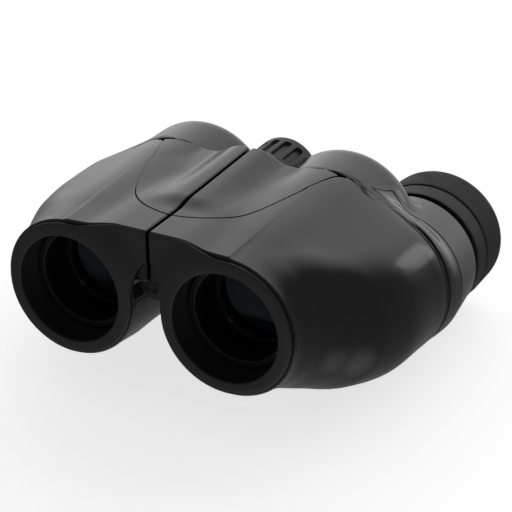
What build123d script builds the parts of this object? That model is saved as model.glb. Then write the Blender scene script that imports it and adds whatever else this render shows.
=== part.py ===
from build123d import *

import math
import os

# Compact reverse-Porro binoculars, 10 x 21, on one centre hinge.
#
# Frame: millimetres, +Z up, objectives facing -Y, eyepieces facing +Y, X across.
# The origin is the middle of the bounding box in X and Y, at its lowest point.
# "left" is the user's left hand side, +X.  Depth is measured along +Y from the
# front faces of the two bezels, and the hinge is drawn at its widest setting.

# ---------------------------------------------------------------- driving sizes
length = 84.0                # front faces to the rims of the eyecups
objective_spacing = 38.3     # between the two objective axes
eye_spacing = 66.9           # between the two eyepiece axes, hinge wide open
eyepiece_drop = 9.55         # eyepiece axis below the objective axis
hinge_rise = 6.3             # hinge axis above the objective axis
fold_angle = 30.0            # whole travel of the hinge, both halves together
hinge_gap = 0.8              # slit between the two halves over the hinge
wall = 1.6                   # moulded shells

barrel_front_r = 15.9        # outside of the objective barrel, front end
barrel_r = 17.3              # the same at the rear hump
barrel_end = 62.5            # depth of the rear face of the hump
barrel_rounding = 4.0
housing_x_share = 0.8        # prism housing centre, from objective to eyepiece axis
housing_r = 18.8             # prism housing
shoulder_depth = 55.45       # housing ends and the eyepiece neck starts
neck_r = 16.5
neck_end_r = 15.2
neck_end = 68.25

cap_bore_r = 12.5            # open front bore of the bezel
bore_r = 12.75               # the objective cell slides in this one
bezel_r = 15.4
bezel_thickness = 1.2
bezel_edge = 0.6             # rounding of its outer edge
spigot_end = 3.4             # the bezel's sleeve inside the shell
tube_wall = 0.6
tube_end = 28.6

panel_front_top = 17.2       # hinge panel heights above the objective axis
panel_step_top = 18.0        # ridge beside the slit, just behind the step
panel_rear_top = 19.0        # the same ridge at the rear end
panel_valley_top = 16.6      # between the ridge and the barrel
ridge_width = 3.6
valley_start = 10.0          # from the slit
panel_start = 2.6
panel_step = 17.0
panel_end = 48.0
web_bottom = 9.8             # lowest point of the bezel's web at the slit
web_back = 0.9
web_thickness = 1.7

seam_start = 11.5            # where the cover seam meets the slit
seam_gap = 0.12

slide_clearance = 0.08       # radial, cell in its bore and barrel in its sleeve
turn_clearance = 0.06        # radial, shaft in knuckles and ring on its sleeve
body_clearance = 0.35        # between the two halves around the hinge

lens_r = 10.5                # 21 mm objective
lens_land = 1.1              # flat ring at the rim of a lens, where it is held
cell_front = 6.5
cell_end = 26.0
cell_lip_r = 9.4
retainer_front = 15.0
retainer_width = 2.0
crown_thickness = 3.4
flint_thickness = 1.6
focus_travel = 3.0           # whole travel of the objective cells
arm_thickness = 1.2
arm_width = 5.0
arm_depth = 17.6             # middle of the arm when the focus is centred

knuckle_r = 6.5
knuckle_web = 6.0            # width of the web from a knuckle to its tube
shaft_r = 3.0
shaft_bore = 1.9
shaft_front = 4.9
shaft_end = 52.0
cap_front = 3.7
cap_r = 5.0
cap_stub = 3.0
nut_width = 2.4
nut_r = 4.6
knuckle_gap = 0.3            # between the two knuckles of a pair
washer_thickness = 0.2
front_knuckles = (5.1, 12.3)   # depths that each pair of knuckles fills
rear_knuckles = (38.0, 47.6)
spindle_r = 1.8
spindle_tip_r = 1.2
spindle_tip = 18.3
spindle_step = 27.0
collar_front = 50.0
collar_width = 1.0
collar_r = 2.45
focus_nut_end = 25.0
carriage_r = 5.5
carriage_width = 6.0
groove_r = 4.2
groove_play = 0.2
fork_r = 5.3
fork_clearance = 0.1
fork_half_angle = 50.0
pin_r = 0.7
pin_offset = 2.0             # the cross pin, ahead of the carriage's middle

wheel_r = 8.35
wheel_front = 54.0
wheel_end = 65.9
wheel_grooves = 16
wheel_groove_width = 1.7
wheel_groove_depth = 0.7
wheel_groove_start = 55.8
wheel_groove_end = 63.9
wheel_cap_r = 4.5
wheel_cap_thickness = 0.8
wheel_pocket = 0.95          # room around the wheel

plate_front = 41.0
plate_thickness = 1.5
prism_width = 10.4
prism_blunt = 1.25           # ground off the edges of each prism
clip_width = 3.0
clip_thickness = 0.5
front_clip_foot = 2.6
rear_clip_foot = 5.0
screw_r = 0.6
screw_head_r = 1.1
screw_head = 0.8
screw_length = 4.0           # plate screws, below the plate
boss_r = 2.2
boss_length = 5.0
pillar_r = 2.2
cover_screw_r = 0.8
cover_screw_head_r = 1.6
cover_screw_head = 0.7       # pan heads, proud of the rear face
cover_screw_length = 6.0     # below the head
cross_width = 0.4            # recess in the head

sleeve_r = 13.9
sleeve_bore = 12.0
sleeve_front = 57.0
sleeve_end = 80.0
ring_front = 68.45
ring_end = 73.6
ring_r = 15.3
dioptre_ribs = 48
dioptre_rib_height = 0.35
eyecup_front = 73.75
eyecup_r = 15.5
eyecup_opening = 11.4
ocular_lens_r = 10.6
ocular_front = 59.0
ocular_end = 77.5
ocular_stop_r = 9.8
ocular_stop_width = 1.6
field_lens_thickness = 3.0
spacer_end = 71.6
eye_lens_thickness = 3.8
dioptre_travel = 2.0
dioptre_swing = 90.0
dioptre_groove_depth = 0.9

# ------------------------------------------------------------- worked-out places
front_y = -length / 2
objective_x = objective_spacing / 2
eye_x = eye_spacing / 2
housing_drop = housing_x_share * eyepiece_drop
housing_x = objective_x + housing_x_share * (eye_x - objective_x)
objective_z = housing_drop + housing_r
eye_z = objective_z - eyepiece_drop
hinge_z = objective_z + hinge_rise
housing_z = objective_z - housing_drop
hinge_reach = math.hypot(objective_x, hinge_rise)
hinge_slope = math.degrees(math.atan2(hinge_rise, objective_x))
tube_r = bore_r + tube_wall
cell_r = bore_r - slide_clearance
slit = hinge_gap / 2
offset_length = math.hypot(eye_x - objective_x, eyepiece_drop)
offset_slope = math.degrees(math.atan2(-eyepiece_drop, eye_x - objective_x))
prism_shift = offset_length / math.sqrt(2)     # each prism moves the axis this far
plate_back = plate_front + plate_thickness
carriage_front = arm_depth - carriage_width / 2
pin_depth = arm_depth - pin_offset
sides = (("left", 1), ("right", -1))


def station(depth):
    """Cross-section plane at a depth behind the front faces: local x, y are X, Z."""
    return Plane.XZ.offset(length / 2 - depth)


def turning_plane(x, z):
    """Half-plane for turned pieces: local x is the depth, local y the radius."""
    return Plane(origin=(x, front_y, z), x_dir=(0, 1, 0), z_dir=(1, 0, 0))


def turning_axis(x, z):
    return Axis((x, front_y, z), (0, 1, 0))


def end_plane(x, z, depth):
    """Cross-section plane centred on a turned piece's axis."""
    return Plane(origin=(x, front_y + depth, z), x_dir=(1, 0, 0), z_dir=(0, -1, 0))


def band(start, end, inner, outer, mode=Mode.ADD):
    """A rectangle of a turned profile, between two depths and two radii."""
    with Locations((start, inner)):
        Rectangle(end - start, outer - inner, align=(Align.MIN, Align.MIN), mode=mode)


def save(part, name):
    part.label = name
    export_step(part, f"parts/{name}.step")


os.makedirs("parts", exist_ok=True)


# ------------------------------------------------------------------- body form
# The outside of one half is a row of stations.  Each holds two circles, one on
# the objective axis and one that leaves it for the eyepiece axis, and their hull.
# Columns: depth, share of the way to the eyepiece axis, two radii.
form_stations = (
    (bezel_thickness, 0.02, barrel_front_r, barrel_front_r),
    (8.0, 0.10, barrel_front_r + 0.2, barrel_front_r + 0.7),
    (16.0, 0.32, barrel_r - 0.7, barrel_r + 0.4),
    (24.0, 0.60, barrel_r - 0.4, housing_r - 0.6),
    (34.0, 0.76, barrel_r - 0.2, housing_r - 0.1),
    (44.0, housing_x_share, barrel_r, housing_r),
    (50.0, housing_x_share + 0.06, barrel_r, housing_r - 0.5),
    (shoulder_depth, 1.0, barrel_r, neck_r + 0.15),
)


def body_form(inset):
    """One half's outer form on the left side, drawn in from its skin by inset."""
    rear = shoulder_depth - inset
    with BuildPart() as form:
        for depth, share, barrel, housing in form_stations:
            moved = min(max(depth, bezel_thickness + inset), rear)
            with BuildSketch(station(moved)):
                with Locations((objective_x, objective_z)):
                    Circle(barrel - inset)
                centre_x = objective_x + share * (eye_x - objective_x)
                centre_z = objective_z - share * eyepiece_drop
                with Locations((centre_x, centre_z)):
                    Circle(housing - inset)
                make_hull()
        loft()
        with BuildSketch(turning_plane(objective_x, objective_z)):
            with BuildLine():
                top = barrel_r - inset
                end = barrel_end - inset
                rounding = barrel_rounding - inset / 2
                Polyline(
                    (end, top - rounding),
                    (end, 0),
                    (rear, 0),
                    (rear, top),
                    (end - rounding, top),
                )
                RadiusArc((end - rounding, top), (end, top - rounding), rounding)
            make_face()
        revolve(axis=turning_axis(objective_x, objective_z))
    return form.part


def hinge_panel(inset):
    """The flat top between the barrel and the slit, with its step and its ridge."""
    edge = slit + inset
    foot = objective_z + hinge_rise - inset * 4
    with BuildPart() as panel:
        with BuildSketch(station(panel_step + inset)):
            top = objective_z + panel_front_top - inset
            with BuildLine():
                Polyline(
                    (edge, foot),
                    (edge, top),
                    (objective_x * 0.6, top - 0.2),
                    (objective_x, objective_z + barrel_front_r - inset - 0.3),
                    (objective_x, foot),
                    close=True,
                )
            make_face()
        extrude(amount=panel_step - panel_start)
        for depth, ridge in ((panel_step, panel_step_top), (panel_end - inset, panel_rear_top)):
            top = objective_z + ridge - inset
            valley = objective_z + panel_valley_top - inset
            with BuildSketch(station(depth)):
                with BuildLine():
                    Polyline(
                        (edge, foot),
                        (edge, top),
                        (edge + ridge_width, top),
                        (edge + (ridge_width + valley_start) / 2, (top + 2 * valley) / 3),
                        (edge + valley_start, valley),
                        (objective_x, objective_z + barrel_r - inset - 0.5),
                        (objective_x, foot),
                        close=True,
                    )
                make_face()
        loft()
    return panel.part


def cover_zone(gap):
    """Where the rear cover is: above and behind the seam, grown forward by gap."""
    seam_points = (
        (0, seam_start),
        (objective_x * 0.34, seam_start + 1.5),
        (objective_x * 0.72, seam_start + 8.1),
        (objective_x, panel_end * 0.72),
        (objective_x * 1.2, panel_end + 1.6),
        (objective_x * 1.4, shoulder_depth),
    )
    reach = 2 * eye_x
    with BuildPart() as zone:
        with BuildSketch(Plane.XY.offset(hinge_z - gap)):
            with BuildLine():
                seam = Spline(*[(x, front_y + depth - gap) for x, depth in seam_points])
                Polyline(
                    seam @ 1,
                    (reach, front_y + shoulder_depth - gap),
                    (reach, length),
                    (-reach, length),
                    (-reach, front_y + seam_start - gap),
                    seam @ 0,
                )
            make_face()
        extrude(amount=length)
        with BuildSketch(station(2 * length)):
            Rectangle(2 * reach, 2 * reach)
        extrude(amount=2 * length - shoulder_depth + gap)
    return zone.part


def fold_room():
    """What the left half gives up so that the two halves can fold and meet."""
    with BuildPart() as room:
        with BuildSketch(station(panel_end)):
            with Locations((0, hinge_z)):
                Circle(knuckle_r + body_clearance)
        extrude(amount=panel_end - bezel_thickness - web_thickness)
        with BuildSketch(station(length)):
            with Locations((0, hinge_z)):
                Circle(wheel_r + wheel_pocket)
        extrude(amount=length - panel_end)
        with BuildSketch(station(length + 1)):
            drop = 2 * objective_z
            lean = drop * math.tan(math.radians(fold_angle / 2))
            with BuildLine():
                Polyline(
                    (slit / 2, hinge_z),
                    (slit / 2 + lean, hinge_z - drop),
                    (-eye_x, hinge_z - drop),
                    (-eye_x, hinge_z),
                    close=True,
                )
            make_face()
        extrude(amount=length + 2)
    return room.part


outer_form = body_form(0.0)
inner_form = body_form(wall)
outer_panel = hinge_panel(0.0)
inner_panel = hinge_panel(wall)
room = fold_room()

# ----------------------------------------------------------------- front bezel
with BuildPart() as bezel:
    with BuildSketch(turning_plane(objective_x, objective_z)):
        band(0, bezel_thickness, cap_bore_r, bezel_r)
        band(bezel_thickness, spigot_end, cap_bore_r, tube_r)
    revolve(axis=turning_axis(objective_x, objective_z))
    front_edges = bezel.edges().filter_by(GeomType.CIRCLE).group_by(Axis.Y)[0]
    fillet(front_edges.sort_by(SortBy.RADIUS)[-1], bezel_edge)
    with BuildSketch(station(web_back + web_thickness)):
        with BuildLine():
            ring_side = objective_x - bezel_r
            Polyline(
                (ring_side, objective_z),
                (objective_x, objective_z),
                (objective_x, objective_z + bezel_r),
                (objective_x * 0.7, objective_z + panel_front_top - 0.3),
                (slit, objective_z + panel_front_top),
                (slit, objective_z + web_bottom),
            )
            ThreePointArc(
                (slit, objective_z + web_bottom),
                (slit + 2.4, objective_z + web_bottom * 0.68),
                (ring_side, objective_z),
            )
        make_face()
        with Locations((objective_x, objective_z)):
            Circle(cap_bore_r, mode=Mode.SUBTRACT)
    extrude(amount=web_thickness)

# ----------------------------------------------------------------- front shell
plate_fixing_angles = (-110, -35, 40)
fixing_reach = housing_r - wall - boss_r + 0.6
plate_fixings = [
    (
        housing_x + fixing_reach * math.cos(math.radians(angle)),
        housing_z + fixing_reach * math.sin(math.radians(angle)),
    )
    for angle in plate_fixing_angles
]

with BuildPart() as front_shell:
    add(outer_form)
    add(outer_panel)
    add(inner_form, mode=Mode.SUBTRACT)
    add(inner_panel, mode=Mode.SUBTRACT)
    with BuildSketch(station(plate_front)):
        with Locations(*plate_fixings):
            Circle(boss_r)
    extrude(amount=boss_length)
    with BuildSketch(station(plate_front)):
        with Locations(*plate_fixings):
            Circle(screw_r)
    extrude(amount=screw_length, mode=Mode.SUBTRACT)
    with BuildSketch(station(spigot_end)):
        with Locations((objective_x, objective_z)):
            Circle(tube_r)
    extrude(amount=spigot_end, mode=Mode.SUBTRACT)
    add(bezel.part, mode=Mode.SUBTRACT)
    add(cover_zone(seam_gap), mode=Mode.SUBTRACT)
    add(room, mode=Mode.SUBTRACT)

# ------------------------------------------------------------------ rear cover
pillars = (
    (objective_x - 5.0, objective_z - 8.6),
    (objective_x - 2.2, objective_z + 9.8),
)

with BuildPart() as rear_cover:
    add(outer_form)
    add(outer_panel)
    add(inner_form, mode=Mode.SUBTRACT)
    add(inner_panel, mode=Mode.SUBTRACT)
    with BuildSketch(turning_plane(eye_x, eye_z)):
        with BuildLine():
            Polyline(
                (shoulder_depth, 0),
                (shoulder_depth, neck_r),
                (neck_end, neck_end_r),
                (neck_end, 0),
                close=True,
            )
        make_face()
    revolve(axis=turning_axis(eye_x, eye_z))
    with BuildSketch(turning_plane(eye_x, eye_z)):
        band(sleeve_front, neck_end, 0, sleeve_r)
        band(shoulder_depth - 2 * wall, sleeve_front, 0, sleeve_bore)
    revolve(axis=turning_axis(eye_x, eye_z), mode=Mode.SUBTRACT)
    with BuildSketch(station(barrel_end)):
        with Locations(*pillars):
            Circle(cover_screw_r)
    extrude(amount=cover_screw_length, mode=Mode.SUBTRACT)
    add(cover_zone(0.0), mode=Mode.INTERSECT)
    add(room, mode=Mode.SUBTRACT)

with BuildPart() as cover_screws:
    with BuildSketch(station(barrel_end + cover_screw_head)):
        with Locations(*pillars):
            Circle(cover_screw_head_r)
    extrude(amount=cover_screw_head)
    with BuildSketch(station(barrel_end)):
        with Locations(*pillars):
            Circle(cover_screw_r)
    extrude(amount=cover_screw_length)
    with BuildSketch(station(barrel_end + cover_screw_head)):
        with Locations(*pillars):
            Rectangle(2 * cover_screw_r, cross_width)
            Rectangle(cross_width, 2 * cover_screw_r)
    extrude(amount=cross_width, mode=Mode.SUBTRACT)


# ----------------------------------------------------- objective cell and lenses
def lens_face(edge, pole, radius):
    """Spherical face from its rim (depth edge, radius) to its pole on the axis."""
    sag = pole - edge
    sphere = (radius**2 + sag**2) / (2 * sag)
    half = math.asin(radius / abs(sphere)) / 2
    middle = (pole - sphere + sphere * math.cos(half), abs(sphere) * math.sin(half))
    return ThreePointArc((edge, radius), middle, (pole, 0))


crown_front = retainer_front + retainer_width
crown_edge = crown_front + crown_thickness - 0.8
flint_rear = crown_front + crown_thickness + flint_thickness
cell_bore = lens_r + 0.05

with BuildPart() as focus_arm:
    with BuildSketch(station(arm_depth + arm_thickness / 2)):
        with Locations((0, hinge_z)):
            Circle(fork_r)
            Circle(groove_r + fork_clearance, mode=Mode.SUBTRACT)
        with BuildLine():
            Polyline(
                (0, hinge_z),
                *[
                    (
                        2 * fork_r * math.cos(math.radians(turn - hinge_slope)),
                        hinge_z + 2 * fork_r * math.sin(math.radians(turn - hinge_slope)),
                    )
                    for turn in (-fork_half_angle, 0, fork_half_angle)
                ],
                close=True,
            )
        make_face(mode=Mode.INTERSECT)
        foot = hinge_reach - cell_r + 1.0
        start = (groove_r + fork_r) / 2
        middle = (start + foot) / 2
        with Locations(
            Location(
                (
                    middle * math.cos(math.radians(hinge_slope)),
                    hinge_z - middle * math.sin(math.radians(hinge_slope)),
                    0,
                ),
                (0, 0, -hinge_slope),
            )
        ):
            Rectangle(foot - start, arm_width)
        with Locations((0, hinge_z)):
            Circle(groove_r + fork_clearance, mode=Mode.SUBTRACT)
    extrude(amount=arm_thickness)

with BuildPart() as objective_cell:
    with BuildSketch(turning_plane(objective_x, objective_z)):
        band(cell_front, flint_rear, cell_bore, cell_r)
        band(flint_rear, cell_end, cell_lip_r, cell_r)
    revolve(axis=turning_axis(objective_x, objective_z))
    fillet(objective_cell.edges().filter_by(GeomType.CIRCLE).group_by(Axis.Y)[0], 0.3)
    add(focus_arm.part, mode=Mode.SUBTRACT)

with BuildPart() as objective_retainer:
    with BuildSketch(turning_plane(objective_x, objective_z)):
        band(retainer_front, crown_front, cell_lip_r, cell_bore)
    revolve(axis=turning_axis(objective_x, objective_z))

with BuildPart() as objective_crown:
    with BuildSketch(turning_plane(objective_x, objective_z)):
        with BuildLine():
            lens_face(crown_front, crown_front - 0.8, lens_r - lens_land)
            lens_face(crown_edge, crown_edge + 1.0, lens_r)
            Line((crown_front, lens_r - lens_land), (crown_front, lens_r))
            Line((crown_front, lens_r), (crown_edge, lens_r))
            Line((crown_front - 0.8, 0), (crown_edge + 1.0, 0))
        make_face()
    revolve(axis=turning_axis(objective_x, objective_z))

with BuildPart() as objective_flint:
    with BuildSketch(turning_plane(objective_x, objective_z)):
        with BuildLine():
            lens_face(crown_edge, crown_edge + 1.0, lens_r)
            Line((crown_edge, lens_r), (flint_rear, lens_r))
            Line((flint_rear, lens_r), (flint_rear, 0))
            Line((crown_edge + 1.0, 0), (flint_rear, 0))
        make_face()
    revolve(axis=turning_axis(objective_x, objective_z))

# -------------------------------------------------------------- prism assembly
prism_end = prism_shift - prism_blunt


class PrismSeat:
    """Where one prism stands on the plate, and which way its roof points."""

    def __init__(self, slope, start_x, start_z, depth, outward, foot):
        lean = math.radians(slope)
        self.foot = foot
        self.along = Vector(math.cos(lean), 0, math.sin(lean))
        self.across = Vector(-math.sin(lean), 0, math.cos(lean))
        self.outward = outward
        self.depth = depth
        self.x = start_x + prism_shift / 2 * self.along.X
        self.z = start_z + prism_shift / 2 * self.along.Z
        self.exit_x = start_x + prism_shift * self.along.X
        self.exit_z = start_z + prism_shift * self.along.Z

    def roof_plane(self):
        """Local x along the two windows, local y from the plate to the roof."""
        origin = (self.x, front_y + self.depth, self.z)
        return Plane(origin, x_dir=self.along, z_dir=self.across * self.outward)

    def strap_plane(self):
        """Local x across the prism, local y from the plate to the roof."""
        origin = (self.x, front_y + self.depth, self.z)
        return Plane(origin, x_dir=self.across, z_dir=self.along * -self.outward)

    def screw_points(self):
        reach = prism_width / 2 + clip_thickness + self.foot - screw_head_r - 0.3
        return [
            (self.x + side * reach * self.across.X, self.z + side * reach * self.across.Z)
            for side in (-1, 1)
        ]


rear_seat = PrismSeat(offset_slope + 45, objective_x, objective_z, plate_back, 1, rear_clip_foot)
front_seat = PrismSeat(
    offset_slope - 45, rear_seat.exit_x, rear_seat.exit_z, plate_front, -1, front_clip_foot
)


def make_prism(seat):
    with BuildPart() as prism:
        with BuildSketch(seat.roof_plane()):
            with BuildLine():
                Polyline(
                    (-prism_end, 0),
                    (prism_end, 0),
                    (prism_end, prism_blunt),
                    (prism_blunt, prism_end),
                    (-prism_blunt, prism_end),
                    (-prism_end, prism_blunt),
                    close=True,
                )
            make_face()
        extrude(amount=prism_width / 2, both=True)
    return prism.part


def make_clip(seat):
    """A sprung strap over the roof of a prism, with a screwed foot on each side."""
    leg = prism_width / 2 + clip_thickness
    top = prism_end + clip_thickness
    with BuildPart() as clip:
        with BuildSketch(seat.strap_plane()):
            Rectangle(2 * leg, top, align=(Align.CENTER, Align.MIN))
            Rectangle(2 * (leg + seat.foot), clip_thickness, align=(Align.CENTER, Align.MIN))
            Rectangle(prism_width, prism_end, align=(Align.CENTER, Align.MIN), mode=Mode.SUBTRACT)
        extrude(amount=clip_width / 2, both=True)
        with BuildSketch(station(seat.depth + seat.outward * clip_thickness)):
            with Locations(*seat.screw_points()):
                Circle(screw_r)
        extrude(amount=seat.outward * clip_thickness, mode=Mode.SUBTRACT)
    return clip.part


rear_prism = make_prism(rear_seat)
front_prism = make_prism(front_seat)
rear_prism_clip = make_clip(rear_seat)
front_prism_clip = make_clip(front_seat)

with BuildPart() as prism_plate:
    with BuildSketch(station(plate_back)):
        with Locations((objective_x, objective_z)):
            Circle(bore_r - 0.02)
        with Locations((housing_x, housing_z)):
            Circle(housing_r - wall - 0.3)
        make_hull()
    extrude(amount=plate_thickness)
    with BuildSketch(station(barrel_end - wall)):
        with Locations(*pillars):
            Circle(pillar_r)
    extrude(amount=barrel_end - wall - plate_back)
    with BuildSketch(station(barrel_end - wall)):
        with Locations(*pillars):
            Circle(cover_screw_r)
    extrude(amount=cover_screw_length - wall, mode=Mode.SUBTRACT)
    with BuildSketch(station(plate_back)):
        with Locations((objective_x, objective_z)):
            Circle(prism_width / 2 + 0.6)
        with Locations((rear_seat.exit_x, rear_seat.exit_z), (eye_x, eye_z)):
            Circle(prism_width / 2 - 0.4)
        with Locations(*rear_seat.screw_points(), *front_seat.screw_points(), *plate_fixings):
            Circle(screw_r)
    extrude(amount=plate_thickness, mode=Mode.SUBTRACT)

# Columns: places, depth of the rear end, radius, length of one stretch of screw.
screw_stretches = (
    (rear_seat.screw_points(), plate_back + clip_thickness + screw_head, screw_head_r, screw_head),
    (rear_seat.screw_points(), plate_back + clip_thickness, screw_r, clip_thickness + plate_thickness),
    (front_seat.screw_points(), plate_front - clip_thickness, screw_head_r, screw_head),
    (front_seat.screw_points(), plate_back, screw_r, clip_thickness + plate_thickness),
    (plate_fixings, plate_back + screw_head, screw_head_r, screw_head),
    (plate_fixings, plate_back, screw_r, plate_thickness + screw_length),
)

with BuildPart() as prism_screws:
    for places, depth, radius, stretch in screw_stretches:
        with BuildSketch(station(depth)):
            with Locations(*places):
                Circle(radius)
        extrude(amount=stretch)

# ------------------------------------------------------------- eyepiece lenses
field_front = ocular_front + ocular_stop_width
field_rear = field_front + field_lens_thickness
eye_front = spacer_end
eye_rear = eye_front + eye_lens_thickness

with BuildPart() as field_lens:
    with BuildSketch(turning_plane(eye_x, eye_z)):
        with BuildLine():
            edge = field_rear - 0.9
            lens_face(edge, field_rear, ocular_lens_r - lens_land)
            Polyline(
                (edge, ocular_lens_r - lens_land),
                (edge, ocular_lens_r),
                (field_front, ocular_lens_r),
                (field_front, 0),
                (field_rear, 0),
            )
        make_face()
    revolve(axis=turning_axis(eye_x, eye_z))

with BuildPart() as ocular_spacer:
    with BuildSketch(turning_plane(eye_x, eye_z)):
        band(field_rear - 0.9, spacer_end, ocular_stop_r, ocular_lens_r)
    revolve(axis=turning_axis(eye_x, eye_z))

with BuildPart() as eye_lens:
    with BuildSketch(turning_plane(eye_x, eye_z)):
        with BuildLine():
            edge = eye_front + 1.1
            lens_face(eye_front, eye_front - 0.9, ocular_stop_r)
            lens_face(eye_rear, eye_rear + 0.6, ocular_stop_r)
            Polyline(
                (eye_front, ocular_stop_r),
                (eye_front, ocular_lens_r),
                (eye_rear, ocular_lens_r),
                (eye_rear, ocular_stop_r),
            )
            Line((eye_front - 0.9, 0), (eye_rear + 0.6, 0))
        make_face()
    revolve(axis=turning_axis(eye_x, eye_z))

with BuildPart() as ocular_retainer:
    with BuildSketch(turning_plane(eye_x, eye_z)):
        band(eye_rear, ocular_end, ocular_stop_r, ocular_lens_r)
    revolve(axis=turning_axis(eye_x, eye_z))

with BuildPart() as eyecup:
    with BuildSketch(turning_plane(eye_x, eye_z)):
        band(eyecup_front, sleeve_end, sleeve_r, eyecup_r)
        band(sleeve_end, length, eyecup_opening, eyecup_r)
    revolve(axis=turning_axis(eye_x, eye_z))
    fillet(eyecup.edges().filter_by(GeomType.CIRCLE).group_by(Axis.Y)[-1], 1.4)
    front_rims = eyecup.edges().filter_by(GeomType.CIRCLE).group_by(Axis.Y)[0]
    fillet(front_rims.sort_by(SortBy.RADIUS)[-1], 0.4)

# ------------------------------------- pieces that are the same on the two sides
paired = {
    "front_bezel": bezel.part,
    "front_shell": front_shell.part,
    "rear_cover": rear_cover.part,
    "cover_screws": cover_screws.part,
    "focus_arm": focus_arm.part,
    "objective_cell": objective_cell.part,
    "objective_retainer": objective_retainer.part,
    "objective_crown": objective_crown.part,
    "objective_flint": objective_flint.part,
    "prism_plate": prism_plate.part,
    "rear_prism": rear_prism,
    "front_prism": front_prism,
    "rear_prism_clip": rear_prism_clip,
    "front_prism_clip": front_prism_clip,
    "prism_screws": prism_screws.part,
    "field_lens": field_lens.part,
    "ocular_spacer": ocular_spacer.part,
    "eye_lens": eye_lens.part,
    "ocular_retainer": ocular_retainer.part,
    "eyecup": eyecup.part,
}
for piece_name, solid in paired.items():
    save(solid, f"left_{piece_name}")
    save(mirror(solid, about=Plane.YZ), f"right_{piece_name}")

# ------------------------------- pieces that differ: chassis, sleeves, and rings
front_middle = sum(front_knuckles) / 2
rear_middle = sum(rear_knuckles) / 2
half_gap = knuckle_gap / 2
knuckle_spans = {
    "left": (
        (front_knuckles[0], front_middle - half_gap),
        (rear_middle + half_gap, rear_knuckles[1]),
    ),
    "right": (
        (front_middle + half_gap, front_knuckles[1]),
        (rear_knuckles[0], rear_middle - half_gap),
    ),
}

for side, sign in sides:
    shaft_hole = shaft_r + (turn_clearance if side == "right" else 0)
    slot_length = arm_thickness + focus_travel + 0.8
    to_hinge = 180 - hinge_slope if sign > 0 else hinge_slope
    with BuildPart() as chassis:
        with BuildSketch(station(tube_end)):
            with Locations((sign * objective_x, objective_z)):
                Circle(tube_r)
        extrude(amount=tube_end - spigot_end)
        with BuildSketch(station(rear_knuckles[1])):
            with Locations((sign * objective_x, objective_z)):
                Circle(tube_r)
            with Locations((sign * (objective_x / 2 + bore_r), objective_z)):
                Rectangle(2 * bore_r, 4 * bore_r, mode=Mode.SUBTRACT)
        extrude(amount=rear_knuckles[1] - tube_end)
        for start, end in knuckle_spans[side]:
            with BuildSketch(station(end)):
                with Locations((0, hinge_z)):
                    Circle(knuckle_r)
                with Locations(
                    Location(
                        (sign * objective_x / 4, hinge_z - hinge_rise / 4, 0),
                        (0, 0, -sign * hinge_slope),
                    )
                ):
                    Rectangle(hinge_reach / 2, knuckle_web)
            extrude(amount=end - start)
        with BuildSketch(station(rear_knuckles[1])):
            with Locations((sign * objective_x, objective_z)):
                Circle(bore_r)
            with Locations((0, hinge_z)):
                Circle(shaft_hole)
        extrude(amount=rear_knuckles[1], mode=Mode.SUBTRACT)
        with BuildSketch(station(arm_depth + slot_length / 2)):
            with Locations(
                Location(
                    (sign * objective_x, objective_z, 0),
                    (0, 0, to_hinge),
                )
            ):
                Rectangle(2 * tube_r, arm_width + 0.6, align=(Align.MIN, Align.CENTER))
        extrude(amount=slot_length, mode=Mode.SUBTRACT)
    save(chassis.part, f"{side}_chassis")

    pin_room = pin_r + 0.15
    ring_middle = (ring_front + ring_end) / 2
    with BuildPart() as ocular_sleeve:
        with BuildSketch(turning_plane(sign * eye_x, eye_z)):
            band(sleeve_front, sleeve_end, sleeve_bore, sleeve_r)
        revolve(axis=turning_axis(sign * eye_x, eye_z))
        if side == "right":
            with BuildSketch(turning_plane(sign * eye_x, eye_z)):
                band(ring_middle - pin_room, ring_middle + pin_room, sleeve_bore - 1, sleeve_r + 1)
            swing = dioptre_swing + 10
            cutter_axis = turning_axis(sign * eye_x, eye_z)
            revolve(axis=cutter_axis, revolution_arc=swing / 2, mode=Mode.SUBTRACT)
            with BuildSketch(turning_plane(sign * eye_x, eye_z)):
                band(ring_middle - pin_room, ring_middle + pin_room, sleeve_bore - 1, sleeve_r + 1)
            revolve(axis=cutter_axis, revolution_arc=-swing / 2, mode=Mode.SUBTRACT)
    save(ocular_sleeve.part, f"{side}_ocular_sleeve")

    with BuildPart() as ocular_barrel:
        with BuildSketch(turning_plane(sign * eye_x, eye_z)):
            band(ocular_front, field_front, ocular_stop_r, sleeve_bore - slide_clearance)
            band(field_front, ocular_end, ocular_lens_r, sleeve_bore - slide_clearance)
            if side == "right":
                half_groove = pin_room + dioptre_travel / 2
                floor = sleeve_bore - slide_clearance - dioptre_groove_depth
                band(
                    ring_middle - half_groove,
                    ring_middle + half_groove,
                    floor,
                    sleeve_bore,
                    mode=Mode.SUBTRACT,
                )
        revolve(axis=turning_axis(sign * eye_x, eye_z))
    save(ocular_barrel.part, f"{side}_ocular_barrel")


with BuildPart() as left_trim_ring:
    with BuildSketch(turning_plane(eye_x, eye_z)):
        band(ring_front, ring_end, sleeve_r, ring_r)
    revolve(axis=turning_axis(eye_x, eye_z))
    fillet(left_trim_ring.edges().filter_by(GeomType.CIRCLE).sort_by(SortBy.RADIUS)[-2:], 0.25)
save(left_trim_ring.part, "left_trim_ring")

pin_bottom = sleeve_bore - slide_clearance - dioptre_groove_depth + 0.15
pin_top = ring_r - 0.5
with BuildPart() as dioptre_pin:
    with BuildSketch(Plane.XY.offset(eye_z + pin_bottom)):
        with Locations((-eye_x, front_y + ring_middle)):
            Circle(pin_r)
    extrude(amount=pin_top - pin_bottom)
save(dioptre_pin.part, "dioptre_pin")

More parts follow.
